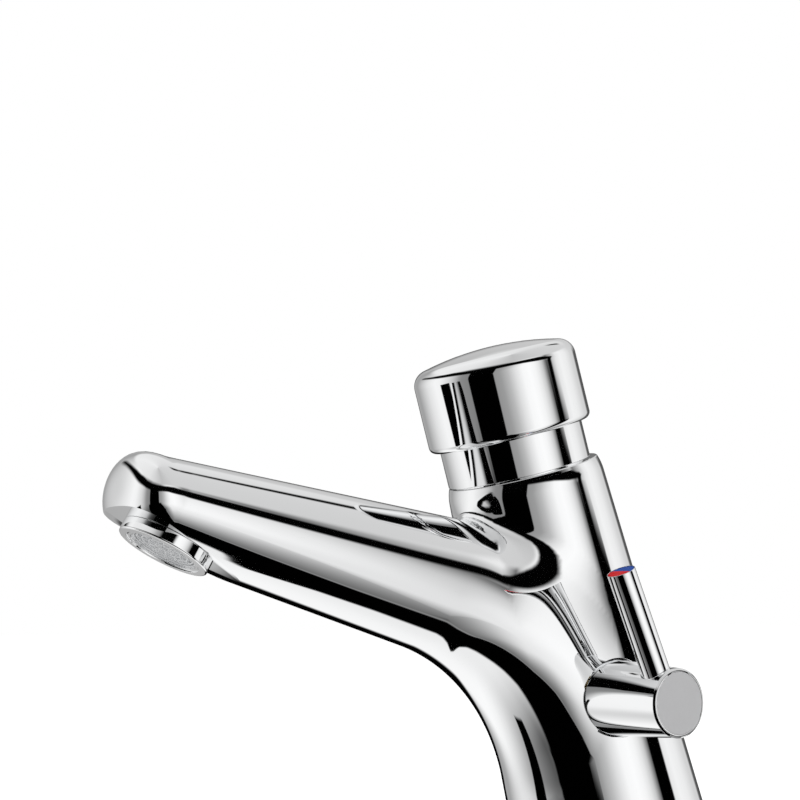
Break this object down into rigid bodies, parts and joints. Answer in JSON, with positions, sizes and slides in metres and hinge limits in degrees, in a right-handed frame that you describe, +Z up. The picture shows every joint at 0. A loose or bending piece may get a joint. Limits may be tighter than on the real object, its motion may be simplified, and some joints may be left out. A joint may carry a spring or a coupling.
{
  "type": "push timed tap",
  "caption": "Leaning self-closing deck tap with a push button on top, a rounded spout and a side lever that sets the water temperature.",
  "frame": {"origin": "where the button's leaning axis meets the deck, at the underside of the base gasket", "axes": "+Z up, the spout points along -Y and the temperature lever is on the +X side; the jet leaves from (0, -0.1429, 0.0848) along (0, -0.485, -0.875)"},
  "size_m": [0.077, 0.1864, 0.2138],
  "materials": {
    "polished_chrome": "mirror polished",
    "satin_chrome": "satin",
    "brass": "machined",
    "steel": "bright",
    "grey_plastic": "matt",
    "white_plastic": "smooth",
    "black_rubber": "matt",
    "red_plastic": "gloss",
    "blue_plastic": "gloss"
  },
  "bodies": {
    "tap": {"tap_body": "polished_chrome", "base_gasket": "black_rubber", "neck_sleeve": "polished_chrome", "timer_housing": "grey_plastic", "spigot_ring": "black_rubber", "timer_gland": "brass", "gland_ring": "black_rubber", "return_spring": "steel", "mixer_sleeve": "grey_plastic", "mixer_nut": "brass", "nut_ring": "black_rubber", "spindle_ring": "black_rubber", "stop_pin": "steel", "outlet_ring": "polished_chrome", "flow_insert": "white_plastic", "outlet_screen": "steel", "outlet_seal": "black_rubber", "inlet_filters": "steel", "fixing_stud": "steel", "clamp_pad": "black_rubber", "clamp_plate": "steel", "clamp_nut": "steel"},
    "button": {"push_cap": "polished_chrome", "cap_disc": "polished_chrome", "cap_screw": "steel", "push_stem": "steel", "piston_clip": "steel", "piston": "grey_plastic", "lip_seal": "black_rubber", "valve_washer": "black_rubber", "valve_plate": "steel", "valve_nut": "steel"},
    "lever": {"knob_hub": "polished_chrome", "knob_end_cap": "satin_chrome", "knob_screw": "steel", "lever_rod": "polished_chrome", "hot_index": "red_plastic", "cold_index": "blue_plastic", "mixer_spindle": "brass", "mixer_spool": "grey_plastic", "spool_rings": "black_rubber", "stop_ring": "grey_plastic"}
  },
  "joints": [
    {"name": "button_slide", "type": "slide", "parent": "tap", "child": "button", "axis": [0, 0.284, -0.9588], "range_m": [0, 0.007], "stiffness_N_per_m": 1000, "springref_m": -0.01, "deforming": ["return_spring"]},
    {"name": "lever_turn", "type": "hinge", "parent": "tap", "child": "lever", "pos_m": [0, -0.0183, 0.0465], "axis": [1, 0, 0], "range_deg": [-52, 38]}
  ]
}
